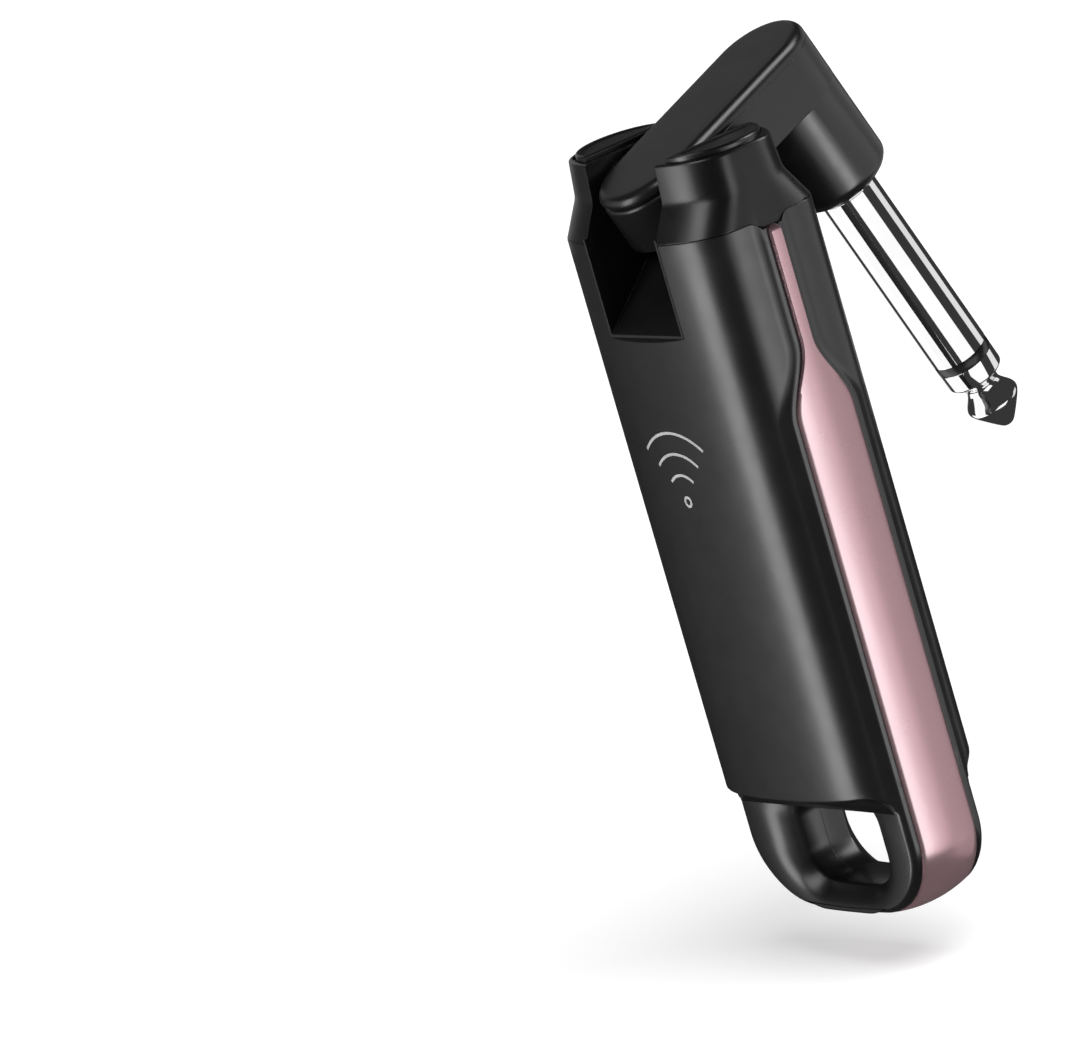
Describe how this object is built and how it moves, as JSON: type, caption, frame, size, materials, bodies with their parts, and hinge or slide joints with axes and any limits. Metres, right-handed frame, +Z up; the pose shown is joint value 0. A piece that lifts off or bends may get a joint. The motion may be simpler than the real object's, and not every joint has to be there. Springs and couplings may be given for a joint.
{
  "type": "wireless guitar transmitter",
  "caption": "Pocket wireless instrument transmitter: slim housing with a rose trim, lanyard loop and a hinged arm that swings a jack plug out over its front.",
  "frame": {"origin": "middle of the rounded lower end, on the trim's lowest flat", "axes": "+Z up the housing from the lanyard loop to the hinge, -Y out of the front panel with the button, +X out of the side with the light bar and the charging port"},
  "size_m": [0.0298, 0.0422, 0.0903],
  "materials": {
    "black_housing": "satin moulded, soft sheen",
    "rose_gold_trim": "anodised rose, fine bead-blast",
    "chrome_plug": "mirror plated",
    "plug_insulator": "smooth",
    "bright_steel": "bright rolled",
    "contact_brass": "plated",
    "green_light_guide": "lit, clear green",
    "circuit_board": "solder mask",
    "chip_black": "moulded epoxy",
    "shield_can": "tinned",
    "battery_foil": "laminated foil pouch",
    "foam_pad": "closed-cell foam",
    "white_plastic": "smooth",
    "black_wire": "extruded sheath",
    "red_wire": "extruded sheath"
  },
  "bodies": {
    "housing": {"front_shell": "black_housing", "back_shell": "black_housing", "hinge_head": "black_housing", "ear_cap_left": "black_housing", "ear_cap_right": "black_housing", "trim_band": "rose_gold_trim", "hinge_pin": "bright_steel", "friction_washer_left": "bright_steel", "friction_washer_right": "bright_steel", "head_screw_left": "bright_steel", "head_screw_right": "bright_steel", "board_screw_low": "bright_steel", "board_screw_high": "bright_steel", "usb_shell": "bright_steel", "button_switch": "bright_steel", "usb_contact_1": "contact_brass", "usb_contact_2": "contact_brass", "usb_contact_3": "contact_brass", "usb_contact_4": "contact_brass", "usb_contact_5": "contact_brass", "button_light_ring": "green_light_guide", "led_light_bar": "green_light_guide", "main_board": "circuit_board", "led_board": "circuit_board", "audio_chip": "chip_black", "charge_chip": "chip_black", "usb_tongue": "chip_black", "radio_shield": "shield_can", "battery_cell": "battery_foil", "battery_pad": "foam_pad", "antenna": "white_plastic", "battery_lead_negative": "black_wire", "battery_lead_positive": "red_wire"},
    "arm": {"arm_body": "black_housing", "arm_cover": "black_housing", "plug_sleeve": "chrome_plug", "plug_insulator_ring": "plug_insulator", "plug_insulator_tube": "plug_insulator", "plug_tip": "chrome_plug", "plug_nut": "bright_steel", "tip_lug": "contact_brass", "sleeve_lug": "contact_brass", "tip_lead": "white_plastic", "sleeve_lead": "black_wire"},
    "button": {"power_button": "black_housing"}
  },
  "joints": [
    {"name": "plug_swing", "type": "hinge", "parent": "housing", "child": "arm", "pos_m": [0, 0.001, 0.0792], "axis": [-1, 0, 0], "range_deg": [-21.3, 198.7]},
    {"name": "button_press", "type": "slide", "parent": "housing", "child": "button", "axis": [0, 1, 0], "range_m": [0, 0.00035], "stiffness_N_per_m": 1500}
  ]
}
